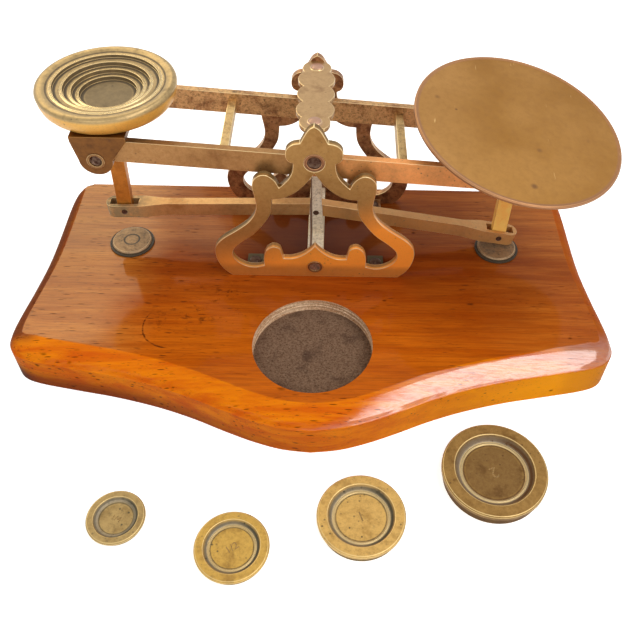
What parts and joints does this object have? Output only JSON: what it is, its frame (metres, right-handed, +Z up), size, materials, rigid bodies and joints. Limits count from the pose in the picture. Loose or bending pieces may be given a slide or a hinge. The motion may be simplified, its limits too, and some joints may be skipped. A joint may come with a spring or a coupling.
{
  "type": "postal scale",
  "caption": "Brass letter balance on a serpentine wooden base: pierced scroll frame, twin-bar beam with a slotted check stay, stepped weight cup, round letter plate and loose weights.",
  "frame": {"origin": "on the underside of the wooden base, straight below the fulcrum of the beam", "axes": "+X along the beam to the letter plate, +Y to the back, +Z up"},
  "size_m": [0.2494, 0.2008, 0.0985],
  "materials": {
    "mahogany": "French polished, worn",
    "worn_lining": "worn matt",
    "dark_leather": "matt",
    "dark_steel": "oxidised",
    "frame_brass": "aged",
    "beam_brass": "aged",
    "cup_brass": "aged",
    "plate_brass": "aged",
    "weight_brass": "aged"
  },
  "bodies": {
    "base": {"wood_base": "mahogany", "recess_lining": "worn_lining", "front_frame": "frame_brass", "rear_frame": "frame_brass", "frame_screws": "dark_steel", "fulcrum_bushes": "frame_brass", "tie_bar": "frame_brass", "tie_screws": "dark_steel", "top_bridge": "frame_brass", "centre_standard": "frame_brass", "stay_centre_pin": "dark_steel", "left_rest_pad": "dark_leather", "left_rest_disc": "beam_brass", "right_rest_pad": "dark_leather", "right_rest_disc": "beam_brass", "rest_screws": "dark_steel"},
    "beam": {"front_beam_bar": "beam_brass", "rear_beam_bar": "beam_brass", "cross_bars": "beam_brass", "fulcrum_pins": "dark_steel", "left_end_pivots": "dark_steel", "right_end_pivots": "dark_steel"},
    "cup_carrier": {"left_hanger": "beam_brass", "left_stem": "beam_brass", "weight_cup": "cup_brass", "cup_screw": "dark_steel"},
    "plate_carrier": {"right_hanger": "beam_brass", "right_stem": "beam_brass", "letter_plate": "plate_brass", "plate_screw": "dark_steel"},
    "stay": {"stay_bar": "beam_brass", "stay_end_pins": "dark_steel"},
    "weight_2oz_body": {"weight_2oz": "weight_brass"},
    "weight_1oz_body": {"weight_1oz": "weight_brass"},
    "weight_half_oz_body": {"weight_half_oz": "weight_brass"},
    "weight_quarter_oz_body": {"weight_quarter_oz": "weight_brass"}
  },
  "joints": [
    {"name": "beam_swing", "type": "hinge", "parent": "base", "child": "beam", "pos_m": [0, 0, 0.081], "axis": [0, -1, 0], "range_deg": [0, 8.2]},
    {"name": "stay_swing", "type": "hinge", "parent": "base", "child": "stay", "pos_m": [0, -0.004, 0.04081], "axis": [0, -1, 0], "range_deg": [0, 8.2]},
    {"name": "cup_level", "type": "hinge", "parent": "beam", "child": "cup_carrier", "pos_m": [-0.08336, 0, 0.07895], "axis": [0, -1, 0], "range_deg": [-8.2, 0]},
    {"name": "plate_level", "type": "hinge", "parent": "beam", "child": "plate_carrier", "pos_m": [0.08222, 0, 0.06709], "axis": [0, -1, 0], "range_deg": [-8.2, 0]},
    {"name": "lift_2oz", "type": "slide", "parent": "base", "child": "weight_2oz_body", "axis": [0, 0, 1], "range_m": [0, 0.12]},
    {"name": "lift_1oz", "type": "slide", "parent": "base", "child": "weight_1oz_body", "axis": [0, 0, 1], "range_m": [0, 0.12]},
    {"name": "lift_half_oz", "type": "slide", "parent": "base", "child": "weight_half_oz_body", "axis": [0, 0, 1], "range_m": [0, 0.12]},
    {"name": "lift_quarter_oz", "type": "slide", "parent": "base", "child": "weight_quarter_oz_body", "axis": [0, 0, 1], "range_m": [0, 0.12]}
  ],
  "couplings": [
    {"joint": "stay_swing", "follows": "beam_swing", "ratio": 1},
    {"joint": "cup_level", "follows": "beam_swing", "ratio": -1},
    {"joint": "plate_level", "follows": "beam_swing", "ratio": -1}
  ]
}
